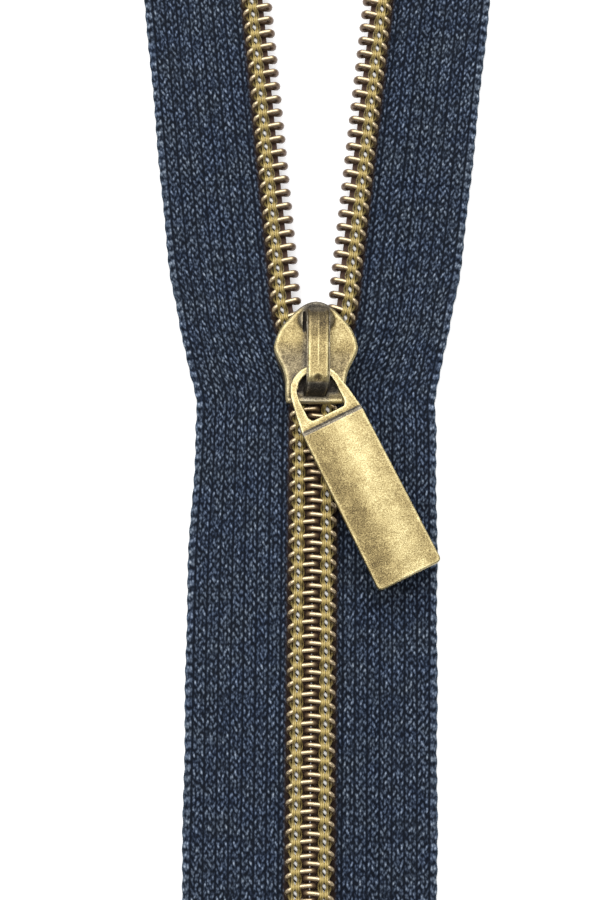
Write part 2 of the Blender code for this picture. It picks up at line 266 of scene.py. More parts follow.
def tube(path, radius, reference, sides):
    """Points and faces of a closed tube along a path, its first side towards reference."""
    tangent = np.gradient(path, axis=0)
    tangent /= np.linalg.norm(tangent, axis=1)[:, None]
    first = reference - (reference * tangent).sum(1)[:, None] * tangent
    first /= np.linalg.norm(first, axis=1)[:, None]
    second = np.cross(tangent, first)
    angle = np.arange(sides) * 2 * pi / sides
    radius = np.broadcast_to(radius, len(path))[:, None, None]
    ring = first[:, None] * np.cos(angle)[:, None] + second[:, None] * np.sin(angle)[:, None]
    points = (path[:, None] + radius * ring).reshape(-1, 3)
    return points, loft_faces(len(path), sides)


def loft_faces(rows, ring):
    """Quads between rows of closed rings, with a cap on each end."""
    row, place = np.meshgrid(np.arange(rows - 1), np.arange(ring), indexing="ij")
    after = (place + 1) % ring
    near, far = row * ring, (row + 1) * ring
    quads = np.stack([near + place, near + after, far + after, far + place], axis=-1)
    caps = [list(range(ring))[::-1], list(range((rows - 1) * ring, rows * ring))]
    return quads.reshape(-1, 4).tolist() + caps


def link(name, data):
    """A new object in the scene."""
    obj = bpy.data.objects.new(name, data)
    bpy.context.scene.collection.objects.link(obj)
    return obj


def gather(shells):
    """Join (points, faces) shells into one."""
    points, faces, count = [], [], 0
    for shell_points, shell_faces in shells:
        points.append(shell_points)
        faces += [[index + count for index in face] for face in shell_faces]
        count += len(shell_points)
    return np.vstack(points), faces


def piece(name, points, faces, material, attributes):
    """Make a smooth-shaded object from points in millimetres."""
    mesh = bpy.data.meshes.new(name)
    mesh.from_pydata((np.asarray(points) * MM).tolist(), [], faces)
    for label, values in attributes.items():
        layer = mesh.attributes.new(label, "FLOAT", "POINT")
        layer.data.foreach_set("value", np.asarray(values, np.float32))
    repair = bmesh.new()
    repair.from_mesh(mesh)
    bmesh.ops.recalc_face_normals(repair, faces=repair.faces)
    repair.to_mesh(mesh)
    repair.free()
    mesh.shade_smooth()
    mesh.materials.append(material)
    return link(name, mesh)


def prism(outline, low, high):
    """A flat outline in XY, made solid from low to high along Z, as a bmesh."""
    shape = bmesh.new()
    base = [shape.verts.new((x, y, low)) for x, y in outline]
    top = [shape.verts.new((x, y, high)) for x, y in outline]
    shape.faces.new(base[::-1])
    shape.faces.new(top)
    for here in range(len(outline)):
        there = (here + 1) % len(outline)
        shape.faces.new((base[here], base[there], top[there], top[here]))
    bmesh.ops.recalc_face_normals(shape, faces=shape.faces)
    return shape


def side_prism(profile, x_low, x_high):
    """A profile of (y, z) pairs, made solid from x_low to x_high."""
    shape = prism(profile, x_low, x_high)
    turn = Matrix(((0, 0, 1, 0), (1, 0, 0, 0), (0, 1, 0, 0), (0, 0, 0, 1)))
    bmesh.ops.transform(shape, matrix=turn, verts=shape.verts)
    return shape


def ellipsoid(centre, radii):
    """An ellipsoid as a bmesh."""
    shape = bmesh.new()
    matrix = Matrix.Translation(centre) @ Matrix.Diagonal((*radii, 1))
    bmesh.ops.create_icosphere(shape, subdivisions=4, radius=1.0, matrix=matrix)
    return shape


def disc(x, y, radius, low, high):
    """A flat disc from low to high along Z, as a bmesh."""
    angle = np.arange(32) * 2 * pi / 32
    return prism(list(zip(x + radius * np.cos(angle), y + radius * np.sin(angle))), low, high)


def average_of_neighbours(values, edges):
    """Each vertex's mean over the vertices that edges join it to."""
    ends, others, size = edges.ravel(), edges[:, ::-1].ravel(), len(values)
    totals = [np.bincount(ends, column[others], minlength=size) for column in values.T]
    return np.stack(totals, 1) / np.bincount(ends, minlength=size)[:, None]


def fuse(shapes):
    """Melt overlapping solids into one skin, as casting does; returns points, faces and edges."""
    mesh = bpy.data.meshes.new("fused")
    joined = bmesh.new()
    for shape in shapes:
        shape.to_mesh(mesh)
        shape.free()
        joined.from_mesh(mesh)
    joined.to_mesh(mesh)
    joined.free()
    holder = link("fused", mesh)
    skin = holder.modifiers.new("skin", "REMESH")
    skin.mode = "VOXEL"
    skin.voxel_size = VOXEL
    graph = bpy.context.evaluated_depsgraph_get()
    fused = bpy.data.meshes.new_from_object(holder.evaluated_get(graph))
    points = np.empty((len(fused.vertices), 3))
    fused.vertices.foreach_get("co", points.ravel())
    edges = np.empty((len(fused.edges), 2), int)
    fused.edges.foreach_get("vertices", edges.ravel())
    faces = [list(face.vertices) for face in fused.polygons]
    bpy.data.objects.remove(holder)
    bpy.data.meshes.remove(mesh)
    bpy.data.meshes.remove(fused)
    for _ in range(SMOOTHING_ROUNDS):
        points += SMOOTHING * (average_of_neighbours(points, edges) - points)
    return points, faces, edges


def edge_wear(points, faces, edges, gain):
    """From 0 in a hollow, through 0.5 on the flat, to 1 on an edge that hands rub."""
    smooth = points
    for _ in range(WEAR_REACH):
        smooth = average_of_neighbours(smooth, edges)
    normal = vertex_normals(points, faces)
    return np.clip(0.5 + gain * ((points - smooth) * normal).sum(1), 0, 1)


def vertex_normals(points, faces):
    """Unit normals of a skin of quads, averaged at its vertices."""
    quads = np.array([face for face in faces if len(face) == 4])
    cross = np.cross(
        points[quads[:, 2]] - points[quads[:, 0]], points[quads[:, 3]] - points[quads[:, 1]]
    )
    normal = np.zeros_like(points)
    for corner in quads.T:
        for axis in range(3):
            normal[:, axis] += np.bincount(corner, cross[:, axis], minlength=len(points))
    return normal / np.maximum(np.linalg.norm(normal, axis=1), 1e-12)[:, None]


def ease(value, start, end):
    """0 before start, 1 after end and a smooth step between."""
    t = np.clip((value - start) / (end - start), 0, 1)
    return t * t * (3 - 2 * t)


def fade(value, start, end):
    """1 before start, 0 after end and a smooth step between."""
    return ease(-value, -end, -start)


def bell(value, middle, spread):
    """1 at the middle, falling off alike on both sides."""
    return np.exp(-(((value - middle) / spread) ** 2))


# Materials


class Shader:
    """A material's nodes, made and joined in few words."""

    def __init__(self, name):
        self.material = bpy.data.materials.new(name)
        self.material.use_nodes = True
        self.tree = self.material.node_tree
        self.main = self.tree.nodes["Principled BSDF"]

    def add(self, kind, inputs=None, **settings):
        made = self.tree.nodes.new(kind)
        for key, value in settings.items():
            setattr(made, key, value)
        for key, value in (inputs or {}).items():
            self.feed(made, key, value)
        return made

    def feed(self, node, key, value):
        """Link a socket to an input, or set the input's value."""
        if isinstance(value, bpy.types.NodeSocket):
            self.tree.links.new(value, node.inputs[key])
        else:
            node.inputs[key].default_value = value

    def place(self):
        """Object coordinates: one unit is a millimetre."""
        source = self.add("ShaderNodeTexCoord").outputs["Object"]
        scale = self.add("ShaderNodeMapping", {"Vector": source, "Scale": (1000, 1000, 1000)})
        return scale.outputs["Vector"]

    def attribute(self, name):
        return self.add("ShaderNodeAttribute", attribute_name=name).outputs["Fac"]

    def noise(self, place, scale, detail=3.0, roughness=0.6, stretch=None):
        if stretch:
            mapping = self.add("ShaderNodeMapping", {"Vector": place, "Scale": stretch})
            place = mapping.outputs["Vector"]
        inputs = {"Vector": place, "Scale": scale, "Detail": detail, "Roughness": roughness}
        return self.add("ShaderNodeTexNoise", inputs).outputs["Fac"]

    def math(self, operation, *values, clamp=False):
        made = self.add("ShaderNodeMath", dict(enumerate(values)), operation=operation)
        made.use_clamp = clamp
        return made.outputs["Value"]

    def remap(self, value, low, high, to_low=0.0, to_high=1.0):
        inputs = {"Value": value, 1: low, 2: high, 3: to_low, 4: to_high}
        return self.add("ShaderNodeMapRange", inputs).outputs["Result"]

    def ramp(self, value, stops):
        made = self.add("ShaderNodeValToRGB", {"Fac": value})
        marks = made.color_ramp.elements
        while len(marks) < len(stops):
            marks.new(0.5)
        for mark, (position, colour) in zip(marks, stops):
            mark.position = position
            mark.color = (*colour, 1)
        return made.outputs["Color"]

    def mix(self, factor, first, second, blend="MIX"):
        made = self.add("ShaderNodeMix", data_type="RGBA", blend_type=blend)
        for key, value in ((0, factor), (6, first), (7, second)):
            if isinstance(value, tuple):
                value = (*value, 1)
            self.feed(made, key, value)
        return made.outputs[2]

    def bump(self, height, distance, strength=1.0):
        inputs = {"Height": height, "Distance": distance, "Strength": strength}
        made = self.add("ShaderNodeBump", inputs)
        self.feed(self.main, "Normal", made.outputs["Normal"])

    def surface(self, **inputs):
        """Feed the main shader's inputs, named with _ for each space."""
        for key, value in inputs.items():
            self.feed(self.main, key.replace("_", " "), value)


def antique_brass():
    """Brass with a dark speckled patina that hands have rubbed from its edges. The wear and stain values it reads
    also carry painted highlights and painted shade.
    """
    shader = Shader("antique_brass_worn_and_painted_light")
    place = shader.place()
    speckle = shader.noise(place, 7.0, 4.0, 0.75)
    blotch = shader.noise(place, 0.55, 3.0, 0.6)
    # wear also carries painted highlights and painted shade; stain also carries painted shade
    wear_and_painted_light = shader.attribute("wear_and_painted_light")
    stain_and_painted_shade = shader.attribute("stain_and_painted_shade")
    bare = shader.math("MULTIPLY_ADD", wear_and_painted_light, 0.7, -0.35)
    fine = shader.remap(speckle, 0.3, 0.7, -0.34, 0.34)
    broad = shader.remap(blotch, 0.3, 0.7, -0.09, 0.09)
    amount = shader.math("ADD", shader.math("ADD", fine, broad), bare)
    amount = shader.math("SUBTRACT", amount, stain_and_painted_shade)
    amount = shader.math("ADD", amount, 0.5, clamp=True)
    colour = shader.ramp(amount, [
        (0.0, (0.030, 0.021, 0.012)),
        (0.3, (0.15, 0.11, 0.047)),
        (0.55, (0.33, 0.255, 0.115)),
        (0.8, (0.51, 0.43, 0.22)),
        (1.0, (0.70, 0.60, 0.35)),
    ])
    vividness = shader.remap(stain_and_painted_shade, 0.02, 0.3, 1.0, 0.5)
    inputs = {"Color": colour, "Saturation": vividness}
    colour = shader.add("ShaderNodeHueSaturation", inputs).outputs["Color"]
    rough = shader.remap(amount, 0.0, 1.0, 0.62, 0.3)
    metal = shader.remap(amount, 0.0, 0.5, 0.75, 1.0)
    shader.surface(Base_Color=colour, Roughness=rough, Metallic=metal)
    pits = shader.math("ADD", speckle, shader.math("MULTIPLY", blotch, 0.6))
    shader.bump(pits, 0.00004, 0.55)
    return shader.material


def coil_nylon():
    """Metal-coated nylon wire, with a painted highlight on its top and painted shade, brown, in the depth."""
    shader = Shader("coil_nylon_coated")
    place = shader.place()
    streak = shader.noise(place, 3.2, 3.0, 0.6)
    grain = shader.noise(place, 14.0, 2.0, 0.5)
    top = shader.attribute("top")
    amount = shader.math("ADD", top, shader.remap(streak, 0.3, 0.7, -0.13, 0.13), clamp=True)
    colour = shader.ramp(amount, [
        (0.0, (0.10, 0.062, 0.04)),
        (0.45, (0.20, 0.13, 0.08)),
        (0.75, (0.44, 0.32, 0.18)),
        (1.0, (0.68, 0.54, 0.34)),
    ])
    rough = shader.remap(grain, 0.3, 0.7, 0.24, 0.4)
    metal = shader.remap(amount, 0.4, 0.9, 0.35, 0.9)
    shader.surface(Base_Color=colour, Roughness=rough, Metallic=metal)
    shader.bump(grain, 0.00001, 0.5)
    return shader.material


def knitted_tape():
    """Navy polyester loops, with painted shade, near black, in the gaps and painted highlights on the crowns of
    the filaments.
    """
    shader = Shader("navy_tape_knit")
    place = shader.place()
    inputs = {"X": shader.attribute("across"), "Y": shader.attribute("along")}
    laid = shader.add("ShaderNodeCombineXYZ", inputs).outputs["Vector"]
    loops = shader.add("ShaderNodeMapping", {"Vector": laid, "Scale": (3.2, 2.0, 1.0)})
    inputs = {"Vector": loops.outputs["Vector"], "Scale": 1.0, "Randomness": 0.85}
    cell = shader.add("ShaderNodeTexVoronoi", inputs, voronoi_dimensions="2D")
    # The tufts are painted highlights on the loops, weaker in the rib grooves
    tuft = shader.remap(cell.outputs["Distance"], 0.05, 0.7, 1.0, 0.0)
    own = shader.add("ShaderNodeSeparateColor", {"Color": cell.outputs["Color"]})
    own = shader.remap(own.outputs["Red"], 0.0, 1.0, 0.45, 1.0)
    tuft = shader.math("MULTIPLY", tuft, own)
    tuft = shader.math("MULTIPLY", tuft, shader.attribute("rib"))
    fibre = shader.noise(place, 9.0, 3.0, 0.7, (1.0, 0.35, 1.0))
    cast = shader.noise(place, 0.35, 2.0, 0.5)
    # Painted light: the knit's height sets the colour, painted shade in the gaps and light on the crowns
    relief = shader.math("MULTIPLY", shader.attribute("relief"), 0.62)
    amount = shader.math("ADD", relief, shader.math("MULTIPLY", tuft, 0.62))
    amount = shader.math("ADD", amount, shader.remap(fibre, 0.3, 0.7, -0.26, 0.0), clamp=True)
    colour = shader.ramp(amount, [
        (0.0, (0.0048, 0.0070, 0.0125)),
        (0.25, (0.021, 0.030, 0.049)),
        (0.6, (0.115, 0.148, 0.200)),
        (1.0, (0.38, 0.44, 0.52)),
    ])
    tint = shader.ramp(cast, [(0.35, (0.86, 0.90, 1.0)), (0.65, (1.08, 1.05, 1.0))])
    colour = shader.mix(1.0, colour, tint, "MULTIPLY")
    colour = shader.mix(shader.attribute("margin"), colour, (0.036, 0.060, 0.082))
    # Painted shade, dark brown, on the tape beside and under the coil
    colour = shader.mix(shader.attribute("painted_gutter_shade"), colour, (0.030, 0.018, 0.014))
    # Painted shade, a lighter brown than the gutter's, on the tape under the coil, seen between its turns
    colour = shader.mix(shader.attribute("painted_gap_shade"), colour, (0.17, 0.105, 0.08))
    rough = shader.remap(fibre, 0.3, 0.7, 0.6, 0.85)
    shader.surface(Base_Color=colour, Roughness=rough)
    shader.main.inputs["Specular IOR Level"].default_value = 0.08
    shader.bump(shader.math("ADD", amount, fibre), 0.00005, 0.6)
    return shader.material


def twisted_yarn(name, low, high, roughness):
    """Plied filament yarn: fine fibres lying slantwise, with a painted highlight where the yarn is on top and
    painted shade elsewhere.
    """
    shader = Shader(name)
    place = shader.place()
    fibre = shader.noise(place, 7.0, 3.0, 0.7, (1.0, 0.4, 1.0))
    shade = shader.remap(fibre, 0.32, 0.68, 0.55, 1.0)
    amount = shader.math("MULTIPLY", shade, shader.attribute("crown"))
    colour = shader.ramp(amount, [(0.0, low), (1.0, high)])
    rough = shader.remap(fibre, 0.3, 0.7, roughness - 0.1, roughness + 0.1)
    shader.surface(Base_Color=colour, Roughness=rough)
    shader.main.inputs["Specular IOR Level"].default_value = 0.6
    shader.bump(fibre, 0.00002, 0.7)
    return shader.material


def spring_steel():
    """Bright rolled strip with fine drawing lines along it."""
    shader = Shader("spring_steel_rolled")
    place = shader.place()
    lines = shader.noise(place, 6.0, 2.0, 0.5, (4.0, 0.3, 4.0))
    colour = shader.ramp(lines, [(0.3, (0.26, 0.25, 0.24)), (0.7, (0.52, 0.51, 0.49))])
    rough = shader.remap(lines, 0.3, 0.7, 0.25, 0.42)
    shader.surface(Base_Color=colour, Roughness=rough, Metallic=1.0)
    shader.bump(lines, 0.000005, 0.5)
    return shader.material


# The two halves: from the closed, straight zipper to where each point lies at rest


def turn_about(points, pivot, angle):
    """Turn points about Z through a pivot; the angle may differ from point to point."""
    away = points[:, :2] - pivot
    c, s = np.cos(angle), np.sin(angle)
    turned = np.stack([away[:, 0] * c - away[:, 1] * s, away[:, 0] * s + away[:, 1] * c], 1)
    return np.column_stack([pivot + turned, points[:, 2]])


def hinge(name, half):
    """A bend joint's pivot at rest and the turn that the slider's full travel gives it."""
    joint = f"{name}_{half}_bend"
    pivot = np.array(JOINTS[joint]["pos_m"][:2]) / MM
    return pivot, COUPLINGS[joint]["ratio"] * TRAVEL


def blend_line(stretch, half):
    """Start and end of a stretch's blend, across the line that halves the angle it bends by."""
    throat = abs(hinge("throat", half)[1])
    middle = abs(hinge("middle", half)[1])
    joint = STRETCHES[stretch][1]
    leans = {
        "throat": throat / 2,
        "middle": throat - middle / 2,
        "upper": throat - middle + throat / 2,
    }
    pivot = hinge(joint, half)[0]
    along = np.array([SIDES[half] * sin(leans[joint]), cos(leans[joint])]) * REACH[joint]
    return pivot - along, pivot + along


def unbend(points, stretch, half):
    """Find the rest place whose blended place, with the joint closed, is each given point."""
    start, end = blend_line(stretch, half)
    pivot, angle = hinge(STRETCHES[stretch][1], half)
    along = end - start
    rest = points.copy()
    for _ in range(UNBEND_ROUNDS):
        t = np.clip((rest[:, :2] - start) @ along / (along @ along), 0, 1)
        rest = turn_about(points, pivot, -angle * t * t * (3 - 2 * t))
    return rest


def to_rest(points, stretch, half):
    """Take points of one half of the closed, straight zipper to where they lie at rest."""
    points = np.asarray(points, float)
    if stretch == "lower":
        return unbend(points, stretch, half)
    throat_pivot, throat_angle = hinge("throat", half)
    if stretch == "middle":
        return unbend(turn_about(points, throat_pivot, -throat_angle), stretch, half)
    middle_angle = hinge("middle", half)[1]
    points = turn_about(points, np.array([0.0, NOSE_Y]), -middle_angle)
    return turn_about(points, throat_pivot, -throat_angle)


def lay(kind, half, stretch, shape, material, attributes):
    """One stretch of tape, coil, cord or thread, bent to rest."""
    points, faces = shape
    points = to_rest(points, stretch, half)
    obj = piece(f"{kind}_{half}_{stretch}", points, faces, material, attributes)
    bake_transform(obj)
    node, slot = ALONG_THE_CHAIN[kind]
    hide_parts(*[f"{node}_{part}_{half}" for part in REPLACED[stretch]])
    return obj


def stretch_ends(stretch, low, high):
    """Where a stretch begins and ends, of something that reaches from low to high."""
    return {
        "lower": (low, FIRST_CUT),
        "middle": (FIRST_CUT, SECOND_CUT),
        "upper": (SECOND_CUT, high),
    }[stretch]


# Tape


def rib_groove(across):
    """1 on the knit's columns, falling to 0 in the groove after every third one."""
    rib = np.abs((across - EDGE_BAND_START + RIB / 2) % RIB - RIB / 2)
    return 1 - bell(rib, 0, 0.13)


def knit_relief(across, along, seed):
    """Height from 0 to 1 of the loops: short slanted floats in columns."""
    shake = np.random.default_rng(seed).uniform(-1, 1, (5, 64, 512))
    inside = across - EDGE_BAND_START
    column = np.floor(inside / COLUMN).astype(int)
    relief = np.zeros_like(across)
    for step in (-1, 0, 1):
        here = column + step
        drop = 0.5 * (here % 2)
        first_row = np.floor(along / LOOP - drop).astype(int)
        for row in (first_row - 1, first_row, first_row + 1):
            own = shake[:, here % 64, row % 512]
            x = inside - (here + 0.5) * COLUMN - 0.05 * own[0]
            y = along - (row + 0.5 + drop) * LOOP - 0.10 * own[1]
            lean = np.where(here % 2, 1, -1) * radians(21) + radians(11) * own[2]
            lengthwise = x * np.sin(lean) + y * np.cos(lean)
            crosswise = x * np.cos(lean) - y * np.sin(lean)
            length = FLOAT_HALF_LENGTH + 0.07 * own[4]
            dome = 1 - (lengthwise / length) ** 2 - (crosswise / FLOAT_HALF_WIDTH) ** 2
            height = 0.84 - 0.17 * (row % 2) + 0.17 * own[3]
            relief = np.maximum(relief, height * np.sqrt(np.clip(dome, 0, None)))
    edge_band = ease(inside, 0.05, 0.2)
    edge_loops = 0.35 + 0.35 * np.sin(2 * pi * along / EDGE_LOOP + 1.2 * inside)
    relief = relief * (1 - 0.6 * edge_band) + edge_loops * edge_band
    return relief * (0.25 + 0.75 * rib_groove(across))


def rest_lengths(half):
    """A table of how long each line along the tape is at rest, up to each closed Y."""
    across = np.linspace(0, TAPE_OUTER + 0.5, 33)
    along = np.arange(TAPE_LOW, TAPE_HIGH + 3, 0.5)
    grid_across, grid_along = np.meshgrid(across, along)
    points = np.stack([SIDES[half] * grid_across, grid_along, grid_across * 0], -1)
    points = points.reshape(-1, 3)
    first_cut = FIRST_CUT + grid_across.ravel() * first_cut_lean(half)
    rest = to_rest(points, "lower", half)
    for stretch, beyond in (("middle", first_cut), ("upper", SECOND_CUT)):
        moved = to_rest(points, stretch, half)
        rest = np.where((points[:, 1] >= beyond)[:, None], moved, rest)
    rest = rest.reshape(*grid_across.shape, 3)
    steps = np.linalg.norm(np.diff(rest, axis=0), axis=2)
    lengths = np.vstack([np.zeros(len(across)), np.cumsum(steps, axis=0)]) + TAPE_LOW
    return across, along, lengths


def look_up(table, across, along):
    """Read the table of lengths between its lines."""
    columns, rows, lengths = table
    u = np.clip((across - columns[0]) / (columns[1] - columns[0]), 0, len(columns) - 1.001)
    v = np.clip((along - rows[0]) / (rows[1] - rows[0]), 0, len(rows) - 1.001)
    i, j = u.astype(int), v.astype(int)
    u, v = u - i, v - j
    near = lengths[j, i] * (1 - u) + lengths[j, i + 1] * u
    far = lengths[j + 1, i] * (1 - u) + lengths[j + 1, i + 1] * u
    return near * (1 - v) + far * v


def first_cut_lean(half):
    """How far the first cut moves along the tape for each millimetre across it."""
    return tan(abs(hinge("throat", half)[1]) / 2)


def tape_heights(across, along, relief):
    """Height of the tape's underside, which the coil lifts, and of its knitted face."""
    wave = 0.07 * (1 + np.sin(along / 7.3 + across / 5.1) * np.sin(along / 3.9 - across / 8.3))
    wave *= ease(across, 5.5, 9.0)
    sag = 0.10 * ease(across, TAPE_OUTER - 0.4, TAPE_OUTER)
    base = TAPE_RAISED * (1 - ease(across, 5.4, 9.8)) + wave
    return base, base + TAPE_THICKNESS - RELIEF / 2 - sag + RELIEF * relief


def tape_grid(half, stretch):
    """Distance across and along the tape for rows of one closed section, and which are on top."""
    low, high = stretch_ends(stretch, TAPE_LOW, TAPE_HIGH)
    columns = int(round((TAPE_OUTER - TAPE_INNER) / GRID_ACROSS)) + 1
    rows = int(round((high - low) / GRID_ALONG)) + 1
    upper = np.linspace(TAPE_INNER, TAPE_OUTER, columns)
    lower = np.linspace(TAPE_OUTER - 0.02, TAPE_INNER + 0.02, UNDERSIDE_COLUMNS)
    section = np.concatenate([upper, lower])
    is_top = np.arange(len(section)) < columns
    lean = first_cut_lean(half)
    across, part = np.meshgrid(section, np.linspace(0, 1, rows))
    starts = low + (across * lean if stretch == "middle" else 0)
    ends = high + (across * lean if stretch == "lower" else 0)
    return across, starts + part * (ends - starts), is_top


def tape_outline(half, across, along, length):
    """Distance out, drawn in at the two waists and the closed middle, scalloped at the edge."""
    narrow = THROAT_WAIST[half] * bell(along, 2.0, 11.0)
    narrow += NOSE_WAIST * bell(along, 18.0, 5.0)
    scallop = 0.06 * np.sin(2 * pi * length / (2 * LOOP)) + 0.05 * np.sin(length / 2.7)
    closed = (1 - ease(across, TAPE_INNER, 1.2)) * (1 - ease(along, 6, 12))
    outward = across - narrow * ease(across, 6, TAPE_OUTER)
    outward += scallop * ease(across, TAPE_OUTER - 0.5, TAPE_OUTER)
    return outward - CLOSED_INSET * closed


def make_tape(half, stretch, material):
    across, along, is_top = tape_grid(half, stretch)
    length = look_up(rest_lengths(half), across, along)
    relief = knit_relief(across, length, KNIT_SEED[half])
    base, top = tape_heights(across, length, relief)
    outward = tape_outline(half, across, along, length)
    height = np.where(is_top, top, base)
    points = np.stack([SIDES[half] * outward, along, height], -1).reshape(-1, 3)
    under_coil = fade(np.abs(along), 63.0, 64.2)
    attributes = {
        "relief": np.where(is_top, relief, 0.3),
        "margin": 0.55 * ease(across, TAPE_OUTER - 0.25, TAPE_OUTER),
        # Painted shade, dark brown, on the tape beside and under the coil
        "painted_gutter_shade": (1 - ease(across, 2.95, 3.4)) * under_coil,
        # Painted shade, a lighter brown than the gutter's, on the tape under the coil, seen between its turns
        "painted_gap_shade": (1 - ease(across, 1.7, 2.5)) * under_coil,
        "rib": 0.2 + 0.8 * rib_groove(across),
        "across": across + 0.16 * np.abs((length / LOOP) % 2 - 1),
        "along": length,
    }
    attributes = {label: values.ravel() for label, values in attributes.items()}
    shape = (points, loft_faces(*across.shape))
    obj = lay("cloth", half, stretch, shape, material, attributes)


# Coil, cord and thread


def heads_in(stretch, half):
    """Y of one coil's heads in a stretch, and of the head that the next stretch begins at."""
    shift = HEAD_SHIFT[half] * COIL_PITCH
    first = ceil((CHAIN_LOW + 0.5 - shift) / COIL_PITCH)
    last = floor((CHAIN_HIGH + 0.9 - shift) / COIL_PITCH)
    heads = [turn * COIL_PITCH + shift for turn in range(first, last + 1)]
    low, high = stretch_ends(stretch, CHAIN_LOW, CHAIN_HIGH + COIL_PITCH)
    return [y for y in heads if low <= y < high] + [y for y in heads if y >= high][:1]


def coil_shine(path, points, radius, side):
    """Painted highlight: 1 on the crowns of the wire, less towards its underside, which is painted shade."""
    axis = np.repeat(path, COIL_SIDES, axis=0)
    upward = (points - axis)[:, 2] / np.repeat(radius, COIL_SIDES)
    on_top = ease(axis[:, 2], 2.75, 3.3)
    head_end = ease(side * axis[:, 0], -0.32, -0.05)
    # Painted highlight on the top of each leg, weaker at the heads; the outer ends get a little more
    crown = ease(upward, 0.15, 0.8) * on_top * (0.15 + 0.85 * head_end)
    outer_end = ease(side * axis[:, 0], 1.9, 2.5)
    back = 0.25 * outer_end * (1 - on_top) + 0.12 * outer_end * crown
    return 0.34 + 0.66 * crown + back


def make_coil(half, stretch, material):
    side = SIDES[half]
    turns = []
    heads = heads_in(stretch, half)
    for y in heads[:-1]:
        turns += [(x, y + dy, z, radius) for x, dy, z, radius in COIL_TURN]
    turns.append((COIL_TURN[0][0], heads[-1], COIL_TURN[0][2], COIL_TURN[0][3]))
    course = spline(turns, COIL_SAMPLES)
    path, radius = course[:, :3] * (side, 1, 1), course[:, 3]
    centre = np.array([COIL_CENTRE[0] * side, 0, COIL_CENTRE[1]])
    outward = (path - centre) * (1, 0, 1)
    points, faces = tube(path, radius, outward, COIL_SIDES)
    shine = coil_shine(path, points, radius, side)
    lay("wire", half, stretch, (points, faces), material, {"top": shine})


def yarn_course(stretch):
    """Y of the points along a cord or thread in a stretch."""
    low, high = stretch_ends(stretch, CHAIN_LOW + YARN_END_GAP, CHAIN_HIGH - YARN_END_GAP)
    return np.arange(low, high, COIL_PITCH / YARN_STEPS)


def lay_strands(kind, half, stretch, strands, material):
    """Lay strands as one piece; each is a path, its radius, an outward direction and a crown."""
    shape = gather([tube(path, radius, out, YARN_SIDES) for path, radius, out, _ in strands])
    crown = np.concatenate([np.repeat(strand[3], YARN_SIDES) for strand in strands])
    lay(kind, half, stretch, shape, material, {"crown": crown})


def make_cord(half, stretch, material):
    """Two plies twisted together inside the coil; one is on top in each gap between turns."""
    y = yarn_course(stretch)
    gap = (HEAD_SHIFT[half] + 0.5) * COIL_PITCH
    x, z = SIDES[half] * CORD_CENTRE[0], CORD_CENTRE[1]
    middle = np.stack([x + 0 * y, y, z + 0 * y], 1)
    plies = []
    for ply in range(2):
        angle = 2 * pi * (y - gap) / COIL_PITCH + pi * ply
        out = np.stack([-np.sin(angle), 0 * y, np.cos(angle)], 1)
        # The crown is a painted glint: white only where a ply is on top, dark elsewhere
        crown = ease(np.cos(angle), 0.45, 0.9)
        plies.append((middle + PLY_OFFSET * out, PLY_RADIUS, out, crown))
    lay_strands("cord", half, stretch, plies, material)


def make_thread(half, stretch, material):
    """Four threads on top and two below. Over a turn they lie side by side; in the gap between turns
    they part round a window and dip, and are painted darker there as shade."""
    y = yarn_course(stretch)
    phase = 2 * pi * (y - HEAD_SHIFT[half] * COIL_PITCH + 0.16) / COIL_PITCH
    over = (0.5 + 0.5 * np.cos(phase)) ** 1.5
    gap = 1 - over
    inner, outer = THREAD_COLUMNS
    high_line = 3.46 + 0.52 * np.sqrt(over)
    low_line = 2.90 + 1.06 * np.sqrt(over)
    # Each crown value is painted light: lighter where a thread lies on top, painted shade where it dips
    upper = (0.07 + 0.065 * over, 0.3 + 0.7 * over)
    courses = [
        (inner - 0.06 * gap, high_line, *upper),
        (inner + 0.24 - 0.16 * gap**2, high_line + 0.03, *upper),
        (outer - 0.24 + 0.16 * gap**2, high_line + 0.03, *upper),
        (outer + 0.06 * gap, high_line, *upper),
        (inner - 0.04 - 0.27 * gap, low_line, 0.10 + 0.03 * over, 0.35 + 0.5 * np.abs(gap - 0.5)),
        (outer + 0.12 + 0.26 * gap, 2.80 + 0.75 * over, 0.16 + 0 * y, 0.3 + 0.1 * over),
    ]
    side, up = SIDES[half], np.array([0.0, 0.0, 1.0])
    strands = [(np.stack([side * x, y, z], 1), radius, up, crown) for x, z, radius, crown in courses]
    lay_strands("stitches", half, stretch, strands, material)


# Slider


def fit(obj, body, node):
    """Let a rigid piece ride with its body and stand for its CAD node."""
    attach(obj, body)
    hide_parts(node)


def slider_outline():
    """The slider's plan as a smooth closed line, from the right rear corner round the nose."""
    right = [(width, NOSE_Y - back) for back, width in SLIDER_OUTLINE]
    points = right + [(0.0, NOSE_Y)] + [(-x, y) for x, y in reversed(right)]
    return spline(points, 8, closed=True)


def distance_to(points, line):
    """Distance in plan from each point to a closed line."""
    start, end = line, np.roll(line, -1, axis=0)
    along = end - start
    best = np.full(len(points), 1e9)
    for a, d in zip(start, along):
        away = points[:, :2] - a
        t = np.clip(away @ d / max(d @ d, 1e-9), 0, 1)
        best = np.minimum(best, np.linalg.norm(away - t[:, None] * d, axis=1))
    return best


def flange(side):
    """The turned-down side of the top wing, from its rear corner to its widest part."""
    near, far = FLANGE_EDGES
    wall = [(width, NOSE_Y - back) for back, width in SLIDER_OUTLINE[1:6]]
    outer = [(side * (x - near), y) for x, y in wall]
    inner = [(side * (x - far), y) for x, y in reversed(wall)]
    return prism(outer + inner, FLANGE_BASE, TOP_WING_BASE + WING_OVERLAP)


